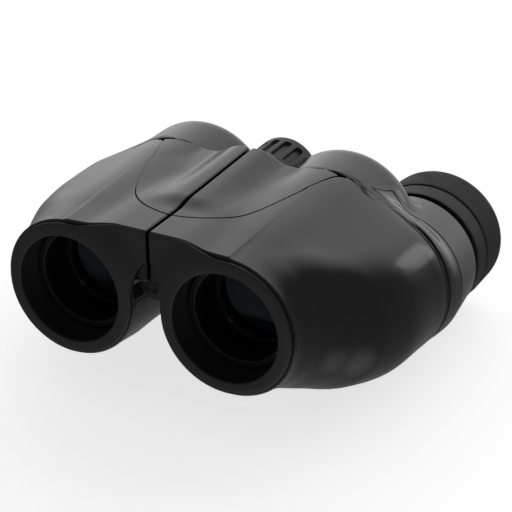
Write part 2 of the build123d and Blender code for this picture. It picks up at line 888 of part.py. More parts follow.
with BuildPart() as dioptre_ring:
    with BuildSketch(turning_plane(-eye_x, eye_z)):
        band(ring_front, ring_end, sleeve_r + turn_clearance, ring_r)
    revolve(axis=turning_axis(-eye_x, eye_z))
    with BuildSketch(end_plane(-eye_x, eye_z, ring_end - 0.8)):
        with PolarLocations(ring_r, dioptre_ribs):
            Rectangle(2 * dioptre_rib_height, math.pi * ring_r / dioptre_ribs)
    extrude(amount=ring_end - ring_front, mode=Mode.SUBTRACT)
    add(dioptre_pin.part, mode=Mode.SUBTRACT)
save(dioptre_ring.part, "dioptre_ring")

# ------------------------------------------------------------------ centre hinge
hinge_plane = turning_plane(0, hinge_z)
hinge_axis = turning_axis(0, hinge_z)

with BuildPart() as hinge_shaft:
    with BuildSketch(hinge_plane):
        band(shaft_front, shaft_end, shaft_bore, shaft_r)
        band(collar_front, shaft_end, shaft_bore, collar_r + 0.05, mode=Mode.SUBTRACT)
    revolve(axis=hinge_axis)
    with BuildSketch(Plane.XY.offset(hinge_z)):
        with Locations((0, front_y + pin_depth)):
            Rectangle(2 * pin_r + 0.1, 2 * pin_r + focus_travel + 0.4)
    extrude(amount=shaft_r + 1, both=True, mode=Mode.SUBTRACT)
save(hinge_shaft.part, "hinge_shaft")

with BuildPart() as hinge_cap:
    with BuildSketch(hinge_plane):
        band(cap_front, shaft_front, 0, cap_r)
        band(shaft_front, shaft_front + cap_stub, 0, shaft_bore)
    revolve(axis=hinge_axis)
    fillet(hinge_cap.edges().filter_by(GeomType.CIRCLE).group_by(Axis.Y)[0], 0.5)
save(hinge_cap.part, "hinge_cap")

with BuildPart() as hinge_nut:
    with BuildSketch(hinge_plane):
        band(rear_knuckles[1] + 0.1, rear_knuckles[1] + 0.1 + nut_width, shaft_r, nut_r)
    revolve(axis=hinge_axis)
    with BuildSketch(end_plane(0, hinge_z, rear_knuckles[1] + 0.1 + nut_width)):
        with Locations((nut_r, 0), (-nut_r, 0)):
            Rectangle(1.6, 1.4)
    extrude(amount=0.9, mode=Mode.SUBTRACT)
save(hinge_nut.part, "hinge_nut")

with BuildPart() as hinge_washers:
    for start in (
        knuckle_spans["left"][0][1],
        knuckle_spans["left"][1][0] - washer_thickness,
    ):
        with BuildSketch(hinge_plane):
            band(start, start + washer_thickness, shaft_r, knuckle_r - 1)
        revolve(axis=hinge_axis)
save(hinge_washers.part, "hinge_washers")

# ------------------------------------------------------------------ focus drive
with BuildPart() as focus_spindle:
    with BuildSketch(hinge_plane):
        band(spindle_tip, spindle_step, 0, spindle_tip_r)
        band(spindle_step, wheel_end - wheel_cap_thickness, 0, spindle_r)
        band(collar_front + 0.05, collar_front + 0.05 + collar_width, 0, collar_r)
    revolve(axis=hinge_axis)
save(focus_spindle.part, "focus_spindle")

with BuildPart() as spindle_retainer:
    with BuildSketch(hinge_plane):
        band(collar_front + collar_width + 0.1, shaft_end, shaft_bore, collar_r + 0.05)
    revolve(axis=hinge_axis)
save(spindle_retainer.part, "spindle_retainer")

with BuildPart() as cross_pin:
    with BuildSketch(Plane.XY.offset(hinge_z)):
        with Locations((0, front_y + pin_depth)):
            Circle(pin_r)
    extrude(amount=carriage_r - 0.4, both=True)
save(cross_pin.part, "cross_pin")

with BuildPart() as focus_carriage:
    with BuildSketch(hinge_plane):
        half_groove = (arm_thickness + groove_play) / 2
        band(carriage_front, carriage_front + carriage_width, shaft_r + turn_clearance, carriage_r)
        band(arm_depth - half_groove, arm_depth + half_groove, groove_r, carriage_r, mode=Mode.SUBTRACT)
    revolve(axis=hinge_axis)
    add(cross_pin.part, mode=Mode.SUBTRACT)
save(focus_carriage.part, "focus_carriage")

with BuildPart() as focus_nut:
    with BuildSketch(hinge_plane):
        band(carriage_front, focus_nut_end, 0, shaft_bore - slide_clearance)
        band(pin_depth + pin_r + 0.3, focus_nut_end, 0, spindle_tip_r + 0.05, mode=Mode.SUBTRACT)
    revolve(axis=hinge_axis)
    add(cross_pin.part, mode=Mode.SUBTRACT)
save(focus_nut.part, "focus_nut")

with BuildPart() as focus_wheel:
    with BuildSketch(hinge_plane):
        band(wheel_front, wheel_end, spindle_r, wheel_r)
        band(wheel_end - wheel_cap_thickness, wheel_end, 0, wheel_cap_r, mode=Mode.SUBTRACT)
    revolve(axis=hinge_axis)
    fillet(focus_wheel.edges().filter_by(GeomType.CIRCLE).sort_by(SortBy.RADIUS)[-2:], 0.4)
    with BuildSketch(end_plane(0, hinge_z, wheel_groove_end)):
        with PolarLocations(wheel_r, wheel_grooves, start_angle=180 / wheel_grooves):
            Rectangle(2 * wheel_groove_depth, wheel_groove_width)
    extrude(amount=wheel_groove_end - wheel_groove_start, mode=Mode.SUBTRACT)
save(focus_wheel.part, "focus_wheel")

with BuildPart() as wheel_cap:
    with BuildSketch(hinge_plane):
        band(wheel_end - wheel_cap_thickness, wheel_end, 0, wheel_cap_r)
    revolve(axis=hinge_axis)
save(wheel_cap.part, "wheel_cap")
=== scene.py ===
import math

import bmesh
import bpy
import numpy as np
from mathutils import Matrix, Vector


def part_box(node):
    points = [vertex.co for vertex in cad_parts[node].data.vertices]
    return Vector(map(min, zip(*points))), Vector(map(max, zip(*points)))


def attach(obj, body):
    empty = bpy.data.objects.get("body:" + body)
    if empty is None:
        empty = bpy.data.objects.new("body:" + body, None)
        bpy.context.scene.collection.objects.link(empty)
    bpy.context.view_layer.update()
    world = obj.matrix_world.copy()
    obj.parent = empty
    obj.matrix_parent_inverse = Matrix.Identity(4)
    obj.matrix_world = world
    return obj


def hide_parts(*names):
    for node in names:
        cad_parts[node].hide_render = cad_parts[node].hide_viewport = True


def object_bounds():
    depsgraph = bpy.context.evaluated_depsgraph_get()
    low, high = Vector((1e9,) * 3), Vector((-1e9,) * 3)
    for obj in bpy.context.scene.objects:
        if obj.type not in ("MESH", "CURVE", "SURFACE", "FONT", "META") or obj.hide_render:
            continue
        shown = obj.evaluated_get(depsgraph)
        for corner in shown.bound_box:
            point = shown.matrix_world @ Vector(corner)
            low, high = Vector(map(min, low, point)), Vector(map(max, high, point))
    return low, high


# Looks for compact folding binoculars: moulded gloss casings, satin front rings,
# rubber eyecups, and the optics and hinge inside them.
# Shape functions work in millimetres: x, z as in the frame, and depth behind the
# front faces of the two rings.  Meshes are written in metres.

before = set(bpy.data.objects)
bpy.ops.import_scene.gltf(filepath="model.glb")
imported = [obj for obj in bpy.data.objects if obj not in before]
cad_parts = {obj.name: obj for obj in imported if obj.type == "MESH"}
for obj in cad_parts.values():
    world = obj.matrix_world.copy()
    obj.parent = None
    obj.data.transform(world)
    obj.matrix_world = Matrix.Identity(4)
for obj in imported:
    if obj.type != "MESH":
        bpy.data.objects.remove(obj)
cad_low, cad_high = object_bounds()
MM = 0.001


# ------------------------------------------------------------ places from the frame
class Turned:
    """Axis, front and rear depth, and outer radius of a turned node, in millimetres."""

    def __init__(self, node):
        low, high = (np.array(corner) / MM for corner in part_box(node))
        self.x, _, self.z = (low + high) / 2
        self.front = low[1] - front_y
        self.rear = high[1] - front_y
        self.radius = (high[0] - low[0]) / 2


front_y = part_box("left_front_bezel")[0][1] / MM
cell = Turned("left_objective_cell")
eyecup = Turned("left_eyecup")
wheel = Turned("focus_wheel")
objective_x, objective_z = cell.x, cell.z
eye_x, eye_z = eyecup.x, eyecup.z
hinge_z = wheel.z
offset_length = math.hypot(eye_x - objective_x, eye_z - objective_z)
lean_x = (eye_x - objective_x) / offset_length
lean_z = (eye_z - objective_z) / offset_length


# --------------------------------------------------------------- small shape maths
def ease(value, start, end):
    """Smooth step: 0 before start, 1 after end, 3s^2 - 2s^3 between them."""
    s = np.clip((value - start) / (end - start), 0, 1)
    return s * s * (3 - 2 * s)


def soft_min(a, b, radius):
    """Smaller of two distances, rounded where they cross over a band of that radius."""
    h = np.clip(0.5 + 0.5 * (b - a) / radius, 0, 1)
    return b + (a - b) * h - radius * h * (1 - h)


def soft_max(a, b, radius):
    """The larger of two fields, with the corner between them rounded."""
    return -soft_min(-a, -b, radius)


def smooth_run(x, places, values):
    """Cubic pieces through values at places, with slopes that never overshoot."""
    places, values = np.asarray(places, float), np.asarray(values, float)
    step = np.diff(places)
    slope = np.diff(values) / step
    tangent = np.zeros(len(values))
    both = slope[:-1] * slope[1:]
    total = np.where(np.abs(slope[:-1] + slope[1:]) < 1e-9, 1.0, slope[:-1] + slope[1:])
    tangent[1:-1] = np.where(both > 0, 2 * both / total, 0)
    k = np.clip(np.searchsorted(places, x, side="right") - 1, 0, len(step) - 1)
    s = np.clip((x - places[k]) / step[k], 0, 1)
    s2, s3 = s * s, s * s * s
    start = (2 * s3 - 3 * s2 + 1) * values[k] + (s3 - 2 * s2 + s) * step[k] * tangent[k]
    return start + (3 * s2 - 2 * s3) * values[k + 1] + (s3 - s2) * step[k] * tangent[k + 1]


def edge_roll(distance, radius):
    """How far a rounded edge draws the skin in, at a distance from that edge."""
    inside = np.clip(radius - distance, 0, radius)
    return radius - np.sqrt(radius**2 - inside**2)


def first_edge(field, x, z, angle, steps=44):
    """Distance from (x, z) along each angle to where field, a signed distance, turns positive."""
    reach = np.zeros(np.broadcast(x, z, angle).shape)
    across, up = np.cos(angle), np.sin(angle)
    for _ in range(steps):
        reach = reach - field(x + reach * across, z + reach * up)
    return reach


# ------------------------------------------------------------------------- meshes
def grid_faces(rows, columns, wrap_rows=False, wrap_columns=False, first=0):
    """Quads between neighbouring points of a grid stored row by row."""
    r = np.arange(rows if wrap_rows else rows - 1)
    c = np.arange(columns if wrap_columns else columns - 1)
    r, c = np.meshgrid(r, c, indexing="ij")
    r1, c1 = (r + 1) % rows, (c + 1) % columns
    quads = np.stack([r * columns + c, r * columns + c1, r1 * columns + c1, r1 * columns + c], -1)
    return first + quads.reshape(-1, 4)


def rim_faces(outer, inner, ratio, flip):
    """Faces between an edge of a fine grid and the same edge of a grid ratio times coarser."""
    spans = len(inner) - 1
    fine = outer[np.arange(spans)[:, None] * ratio + np.arange(ratio + 1)[None, :]]
    faces = np.concatenate([fine, inner[1:, None], inner[:-1, None]], axis=1)
    return (faces[:, ::-1] if flip else faces).tolist()


def enclosed_volume(points, faces):
    """Sum over the faces' fans of corner . (corner x corner) / 6: positive if they face out."""
    total = 0.0
    for size in {len(face) for face in faces}:
        corners = points[np.array([face for face in faces if len(face) == size])]
        for k in range(1, size - 1):
            cross = np.cross(corners[:, k], corners[:, k + 1])
            total += np.einsum("ij,ij->", corners[:, 0], cross) / 6
    return total


def make_piece(name, points, faces, body, node, finish, sharp=38.0, weld=False):
    """A mesh from points in millimetres (x, depth, z), riding on a body in place of a node."""
    points = np.asarray(points, float).reshape(-1, 3)
    places = np.stack([points[:, 0], points[:, 1] + front_y, points[:, 2]], -1) * MM
    faces = faces if isinstance(faces, list) else faces.tolist()
    if enclosed_volume(places, faces) < 0:
        faces = [face[::-1] for face in faces]
    mesh = bpy.data.meshes.new(name)
    mesh.from_pydata(places, [], faces)
    mesh.validate()
    if weld:
        shape = bmesh.new()
        shape.from_mesh(mesh)
        bmesh.ops.remove_doubles(shape, verts=shape.verts, dist=1e-7)
        shape.to_mesh(mesh)
        shape.free()
    mesh.shade_smooth()
    mesh.set_sharp_from_angle(angle=math.radians(sharp))
    mesh.materials.append(finish)
    piece = bpy.data.objects.new(name, mesh)
    bpy.context.scene.collection.objects.link(piece)
    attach(piece, body)
    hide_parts(node)
    return piece


def rounded_loop(corners, step=0.0):
    """Outline of a turned section.  Each corner is (depth, radius, rounding), and a rounded
    corner becomes a quadratic arc of seven points between its two tangent points.  With a
    step, straight runs are divided into lengths of about that."""
    corners = [np.array(corner, float) for corner in corners]
    outline = []
    for k, corner in enumerate(corners):
        before = corners[k - 1][:2] - corner[:2]
        after = corners[(k + 1) % len(corners)][:2] - corner[:2]
        if corner[2] <= 0:
            outline.append(corner[:2])
            continue
        start = corner[:2] + before / np.linalg.norm(before) * corner[2]
        end = corner[:2] + after / np.linalg.norm(after) * corner[2]
        for s in np.linspace(0, 1, 7):
            weights = (1 - s) ** 2, 1.6 * s * (1 - s), s**2
            bend = weights[0] * start + weights[1] * corner[:2] + weights[2] * end
            outline.append(bend / sum(weights))
    if step:
        divided = []
        for k, point in enumerate(outline):
            following = outline[(k + 1) % len(outline)]
            count = max(1, int(np.linalg.norm(following - point) / step))
            divided += [point + (following - point) * s / count for s in range(count)]
        outline = divided
    return np.array(outline)


def turned_grid(outline, x, z, around=160, relief=None):
    """Outline carried round an axis: point = (x + r cos a, depth, z + r sin a), where relief
    may change r as a function of depth, r and the angle a."""
    angle = np.linspace(0, 2 * math.pi, around, endpoint=False)[None, :]
    depth = outline[:, 0][:, None] + 0 * angle
    radius = outline[:, 1][:, None] + 0 * angle
    if relief:
        radius = relief(depth, radius, angle + 0 * depth)
    points = np.stack([x + radius * np.cos(angle), depth, z + radius * np.sin(angle)], -1)
    return points, grid_faces(len(outline), around, wrap_rows=True, wrap_columns=True)


def turned_piece(node, body, corners, finish, around=160, step=0.0, relief=None, at=None):
    """A turned piece in place of a node, on that node's own axis unless at gives another."""
    place = at or Turned(node)
    points, faces = turned_grid(rounded_loop(corners, step), place.x, place.z, around, relief)
    touches_axis = min(corner[1] for corner in corners) <= 0
    return make_piece(node + "_skin", points, faces, body, node, finish, weld=touches_axis)


def thick_patch(outer, inner, ratio):
    """A closed shell between two grids, the inner one coarser by ratio, with its four rims."""
    rows, columns = outer.shape[:2]
    small_rows, small_columns = inner.shape[:2]
    first = rows * columns
    faces = grid_faces(rows, columns).tolist()
    faces += grid_faces(small_rows, small_columns, first=first)[:, ::-1].tolist()
    big = np.arange(first).reshape(rows, columns)
    small = first + np.arange(small_rows * small_columns).reshape(small_rows, small_columns)
    faces += rim_faces(big[0], small[0], ratio, flip=True)
    faces += rim_faces(big[-1], small[-1], ratio, flip=False)
    faces += rim_faces(big[:, 0], small[:, 0], ratio, flip=False)
    faces += rim_faces(big[:, -1], small[:, -1], ratio, flip=True)
    return np.concatenate([outer.reshape(-1, 3), inner.reshape(-1, 3)]), faces


# ----------------------------------------------------------------------- shading
class Value:
    """The output of a shader node, with the arithmetic that adds its Math nodes."""

    def __init__(self, finish, output):
        self.finish = finish
        self.output = output

    def math(self, operation, *others):
        settings = {"operation": operation}
        return self.finish.node("ShaderNodeMath", settings, dict(enumerate((self, *others))))

    def __add__(self, other):
        return self.math("ADD", other)

    __radd__ = __add__

    def __mul__(self, other):
        return self.math("MULTIPLY", other)

    __rmul__ = __mul__

    def __sub__(self, other):
        return self.math("SUBTRACT", other)

    def __rsub__(self, other):
        return (self * -1.0) + other

    def between(self, low, high):
        """0 below low, 1 above high."""
        ends = {0: self, 1: low, 2: high, 3: 0.0, 4: 1.0}
        return self.finish.node("ShaderNodeMapRange", {"interpolation_type": "SMOOTHSTEP"}, ends)


class Finish:
    """A material under a plain name, built round one Principled shader."""

    def __init__(self, name, **constants):
        self.material = bpy.data.materials.new(name)
        self.material.use_nodes = True
        self.tree = self.material.node_tree
        self.shader = self.tree.nodes["Principled BSDF"]
        for socket, value in constants.items():
            self.shader.inputs[socket.replace("_", " ")].default_value = value
        self.place = self.node("ShaderNodeTexCoord", {}, {}, "Object")

    def node(self, kind, settings, sockets, output=0):
        """Adds a node: its type, its settings, then the values or links of its sockets."""
        made = self.tree.nodes.new(kind)
        for key, value in settings.items():
            setattr(made, key, value)
        for key, value in sockets.items():
            self.feed(made.inputs[key], value)
        return Value(self, made.outputs[output])

    def feed(self, socket, value):
        if isinstance(value, Value):
            self.tree.links.new(value.output, socket)
        else:
            socket.default_value = value

    def set(self, socket, value):
        self.feed(self.shader.inputs[socket], value)

    def noise(self, scale, detail=2.0, roughness=0.5, stretch=(1.0, 1.0, 1.0)):
        """Noise over the piece, scale being waves per metre."""
        settings = {"vector_type": "POINT"}
        place = self.node("ShaderNodeMapping", settings, {"Vector": self.place, "Scale": stretch})
        sockets = {"Vector": place, "Scale": scale, "Detail": detail, "Roughness": roughness}
        return self.node("ShaderNodeTexNoise", {}, sockets, "Fac")

    def cells(self, scale):
        """Distance to the nearest of many scattered points, as pebbles are."""
        sockets = {"Vector": self.place, "Scale": scale}
        return self.node("ShaderNodeTexVoronoi", {}, sockets, "Distance")

    def rings(self, scale):
        """Fine rings along the depth, as a lathe leaves them."""
        settings = {"wave_type": "BANDS", "bands_direction": "Y", "wave_profile": "SIN"}
        sockets = {"Vector": self.place, "Scale": scale, "Distortion": 0.0}
        return self.node("ShaderNodeTexWave", settings, sockets, "Fac")

    def edges(self, start, end):
        """0 on flats and 1 on outer edges, from how pointed the surface is."""
        return self.node("ShaderNodeNewGeometry", {}, {}, "Pointiness").between(start, end)

    def colour(self, share, low, high):
        """Mix from one colour to another as share goes from 0 to 1."""
        settings = {"data_type": "RGBA", "clamp_factor": True}
        ends = [end if isinstance(end, Value) else (*end, 1) for end in (low, high)]
        return self.node("ShaderNodeMix", settings, {0: share, 6: ends[0], 7: ends[1]}, 2)

    def bump(self, height, strength, distance):
        sockets = {"Height": height, "Strength": strength, "Distance": distance}
        self.set("Normal", self.node("ShaderNodeBump", {}, sockets))


def gloss_moulding():
    """Polished black moulding: faint flow marks, a little dust and fine wiping scratches."""
    finish = Finish("gloss_moulding", Specular_IOR_Level=0.5, Coat_Roughness=0.05)
    flow = finish.noise(60, 3.0)
    dust = finish.noise(900, 3.0, 0.7).between(0.66, 0.80)
    wiped = finish.noise(500, 2.0, 0.6, (1.0, 0.06, 1.0)).between(0.5, 0.8)
    shade = finish.colour(flow, (0.0035, 0.0037, 0.0040), (0.0055, 0.0057, 0.0060))
    finish.set("Base Color", finish.colour(dust * 0.2, shade, (0.03, 0.03, 0.03)))
    finish.set("Roughness", 0.16 + flow * 0.05 + wiped * 0.04 + dust * 0.12)
    finish.set("Coat Weight", 0.2 - dust * 0.15)
    finish.bump(finish.noise(220, 1.0) + dust * 0.05, 0.035, 0.0004)
    return finish.material


def satin_moulding():
    """Satin black moulding with a fine spark-eroded grain."""
    finish = Finish("satin_moulding", Specular_IOR_Level=0.5)
    grain = finish.noise(5200, 2.0, 0.6)
    patches = finish.noise(180, 2.0)
    shade = finish.colour(patches, (0.010, 0.010, 0.0105), (0.015, 0.015, 0.0155))
    finish.set("Base Color", shade)
    finish.set("Roughness", 0.46 + grain * 0.10 + patches * 0.06)
    finish.bump(grain, 0.18, 0.00005)
    return finish.material


def rubber_moulding():
    """Matte black rubber, faintly dusty, with a pebbled skin."""
    finish = Finish("rubber_moulding", Specular_IOR_Level=0.4)
    pebbles = finish.cells(3600)
    dust = finish.noise(260, 4.0, 0.65).between(0.45, 0.75)
    shade = finish.colour(dust, (0.012, 0.012, 0.0125), (0.022, 0.022, 0.023))
    finish.set("Base Color", shade)
    finish.set("Roughness", 0.56 + dust * 0.12 + pebbles * 0.08)
    finish.bump(pebbles, 0.14, 0.00006)
    return finish.material


def wheel_moulding():
    """Satin black moulding whose raised edges are polished by fingers."""
    finish = Finish("wheel_moulding", Specular_IOR_Level=0.5)
    edge = finish.edges(0.505, 0.56)
    grain = finish.noise(4200, 2.0, 0.6)
    finish.set("Base Color", finish.colour(edge, (0.018, 0.018, 0.019), (0.034, 0.034, 0.035)))
    finish.set("Roughness", 0.42 + grain * 0.10 - edge * 0.12)
    finish.bump(grain, 0.12, 0.00005)
    return finish.material


def flat_black():
    """Flat black inner plastic and paint, with a slight mottle."""
    finish = Finish("flat_black", Specular_IOR_Level=0.3)
    mottle = finish.noise(900, 3.0, 0.6)
    finish.set("Base Color", finish.colour(mottle, (0.010, 0.010, 0.010), (0.017, 0.017, 0.018)))
    finish.set("Roughness", 0.62 + mottle * 0.15)
    finish.bump(mottle, 0.10, 0.00008)
    return finish.material


def anodised():
    """Black anodised aluminium, turned: fine rings, dull on the flats, with a painted highlight on
    the rims that makes them lighter and more metallic.
    """
    finish = Finish("black_anodised", Specular_IOR_Level=0.5)
    rings = finish.rings(5200)
    stain = finish.noise(300, 3.0)
    # Painted highlight: where the surface is pointed, on rims, the colour turns lighter and more
    # metallic.
    edge = finish.edges(0.51, 0.58)
    shade = finish.colour(edge, (0.011, 0.011, 0.012), (0.075, 0.075, 0.078))
    finish.set("Base Color", shade)
    finish.set("Metallic", 0.35 + edge * 0.3)
    finish.set("Roughness", 0.40 + stain * 0.14 - edge * 0.08)
    finish.bump(rings, 0.12, 0.00004)
    return finish.material


def painted_casting():
    """Die-cast alloy under thin black paint, slightly rough as cast."""
    finish = Finish("painted_casting", Specular_IOR_Level=0.5)
    cast = finish.noise(1500, 4.0, 0.65)
    worn = finish.noise(500, 4.0, 0.7).between(0.64, 0.72)
    finish.set("Base Color", finish.colour(worn, (0.022, 0.022, 0.023), (0.11, 0.11, 0.115)))
    finish.set("Metallic", worn * 0.8)
    finish.set("Roughness", 0.44 + cast * 0.2)
    finish.bump(cast, 0.25, 0.0001)
    return finish.material


def metal(name, colour, worn_colour, base, grain_scale, metallic=1.0):
    """Bare or blackened metal: drawn lines, small stains and a roughness that follows them."""
    finish = Finish(name, Specular_IOR_Level=0.5)
    lines = finish.noise(grain_scale, 3.0, 0.6, (1.0, 0.08, 1.0))
    stain = finish.noise(420, 3.0, 0.6).between(0.4, 0.75)
    finish.set("Base Color", finish.colour(stain, colour, worn_colour))
    finish.set("Metallic", metallic)
    finish.set("Roughness", base + lines * 0.16 + stain * 0.08)
    finish.bump(lines, 0.10, 0.00003)
    return finish.material


def optical_glass(name, painted_shade_tint, coating):
    """Polished glass with faint smears: its tint is painted shade, darkening what shows through it
    to stand for the dark bore behind and for what the coatings hold back, and the coating colours
    its reflections."""
    finish = Finish(name, IOR=1.52, Transmission_Weight=1.0, Specular_IOR_Level=0.06)
    finish.shader.inputs["Specular Tint"].default_value = (*coating, 1)
    smear = finish.noise(240, 3.0, 0.6).between(0.5, 0.85)
    # Painted shade: the tint darkens the light through the glass, standing for the dark bore behind
    # it.
    darker = tuple(0.94 * channel for channel in painted_shade_tint)
    finish.set("Base Color", finish.colour(smear, painted_shade_tint, darker))
    finish.set("Roughness", 0.01 + smear * 0.03)
    return finish.material


gloss = gloss_moulding()
satin = satin_moulding()
rubber = rubber_moulding()
wheel_finish = wheel_moulding()
flat = flat_black()
anodised_black = anodised()
casting = painted_casting()
spring_steel = metal("spring_steel", (0.42, 0.42, 0.43), (0.34, 0.34, 0.35), 0.26, 2600)
screw_steel = metal("screw_steel", (0.30, 0.30, 0.31), (0.20, 0.20, 0.21), 0.30, 3200)
black_steel = metal("blackened_steel", (0.018, 0.018, 0.019), (0.05, 0.05, 0.05), 0.34, 2800, 0.6)
brass = metal("turned_brass", (0.60, 0.43, 0.16), (0.46, 0.31, 0.11), 0.24, 3000)
# The crown and flint tints are painted shade for the dark bore behind the lenses; the prism tint is
# nearly clear.
crown_glass = optical_glass("crown_glass", (0.34, 0.37, 0.36), (0.22, 0.28, 0.40))
flint_glass = optical_glass("flint_glass", (0.40, 0.40, 0.36), (0.25, 0.34, 0.26))
prism_glass = optical_glass("prism_glass", (0.96, 0.99, 0.97), (1.0, 1.0, 1.0))


# ---------------------------------------------------------------- form of one half
barrel_end = 62.5            # flat rear face of the hump
shoulder = 55.45             # the housing ends and the eyepiece neck starts
neck_end = 68.25
neck_front_r, neck_rear_r = 16.5, 15.2
neck_wall = 1.25
neck_rim = 0.3               # rounding of its rear end
face_run = 0.5               # depth in which the hump's rear face meets the neck
wall = 1.6
rear_wall = 1.4              # behind the hump's rear face
slit = 0.4                   # half the gap between the two halves
knuckle_room = 6.95          # radius kept clear round the hinge knuckles
wheel_room = 9.3             # the same round the focus wheel
fold_lean = math.tan(math.radians(15.0))
fold_true = 0.966            # turns a run along x into the distance to the leaning plane
seam_gap = 0.18
seam_roll = 0.2              # rounding of the edges at the seam
front_roll = 0.4             # rounding of the front shell's front edge

panel_front_top = 17.2       # hinge panel, over the objective axis
panel_ridge_top = 18.0       # beside the slit, behind the step
panel_end = 48.0
step_depths = (14.5, 20.5)
valley_drop, valley_depths = 0.7, (16.0, 34.0)
parting_depths = (49.0, 57.0)   # where the hull of two circles parts into two tubes
tube_blend, panel_blend = 2.6, 0.8
slit_blend = 0.5
deep_inside = -9.0           # a distance that never wins against the real ones

form_depths = (1.2, 8.0, 16.0, 24.0, 34.0, 44.0, 50.0, shoulder)
form_share = (0.02, 0.10, 0.32, 0.60, 0.76, 0.80, 0.86, 1.0)
barrel_radii = (15.9, 16.1, 16.6, 16.9, 17.1, 17.3, 17.3, 17.3)
housing_radii = (15.9, 16.6, 17.7, 18.2, 18.7, 18.8, 18.3, neck_front_r)
hump_round_start = 57.0
hump_drop = 5.5
hump_power = 3.5
ring_fall, ring_fall_radii = 2.0, (13.8, 21.0)
seam_places = (0.0, 6.5, 13.8, 19.15, 23.0, 26.8)      # x, and the seam's depth there
seam_places_depth = (11.5, 13.0, 19.6, 34.6, 49.6, shoulder)


def panel_top(x, depth):
    """Height of the hinge panel over the objective axis: flat in front of the step, and a
    ridge beside the slit, a valley and the barrel's flank behind it."""
    front = panel_front_top - 1.5 * ease(x, 7.0, 20.0)
    ridge = panel_ridge_top + (depth - 18.0) / (panel_end - 18.0)
    step = (ridge - panel_front_top) * (1 - ease(x, 2.0, 9.5)) * ease(depth, *step_depths)
    valley = valley_drop * ease(x, 3.0, 9.0) * (1 - ease(x, 9.0, 17.0)) * ease(depth, *valley_depths)
    return front + step - valley


def section(depth):
    """The outline of one half at each depth, as a function giving signed distance: the hull
    of a circle on the objective axis and one on its way to the eyepiece axis, which become
    two joined circles behind the shoulder, with the hinge panel, the slit and the fold plane."""
    share = smooth_run(depth, form_depths, form_share)
    barrel = smooth_run(depth, form_depths, barrel_radii)
    housing = smooth_run(depth, form_depths, housing_radii)
    back = np.clip((depth - shoulder) / (neck_end - shoulder), 0, 1)
    housing = housing + (neck_rear_r - neck_front_r) * back
    late = np.clip((depth - hump_round_start) / (barrel_end - hump_round_start), 0, 1)
    barrel = barrel - hump_drop * (1 - (1 - late**hump_power) ** (1 / hump_power))
    reach = np.maximum(share * offset_length, 0.05)
    taper = np.clip((barrel - housing) / reach, -0.9, 0.9)
    level = np.sqrt(1 - taper**2)
    parting = ease(depth, *parting_depths)

    def distance(x, z):
        px, pz = x - objective_x, z - objective_z
        along = px * lean_x + pz * lean_z
        across = np.abs(px * lean_z - pz * lean_x)
        side = level * along - taper * across
        near = np.hypot(across, along) - barrel
        far = np.hypot(across, along - reach) - housing
        flank = level * across + taper * along - barrel
        hull = np.where(side < 0, near, np.where(side > level * reach, far, flank))
        body = hull + parting * (soft_min(near, far, tube_blend) - hull)
        top = pz - panel_top(x, depth)
        panel = soft_max(top, depth - panel_end, panel_blend)
        panel = np.maximum(np.maximum(panel, x - objective_x), hinge_z - 1 - z)
        body = soft_min(body, panel, 0.3 + 1.5 * (1 - ease(depth, 34.0, 47.0)))
        body = soft_max(body, slit - x, slit_blend)
        fold = (slit / 2 + (hinge_z - z) * fold_lean - x) * fold_true
        return np.maximum(body, np.where(z < hinge_z, fold, deep_inside))

    return distance


def centre_of(depth):
    """Point that the outline is swept round: under the panel first, and between the two
    tubes behind it."""
    late = ease(depth, panel_end + 0.3, 54.0)
    return 10.0 + 16.3 * late, 38.5 - 16.8 * late


def room_radius(depth):
    """Radius round the hinge axis that a casing stays out of."""
    return knuckle_room + (wheel_room - knuckle_room) * ease(depth, panel_end, panel_end + 0.8)


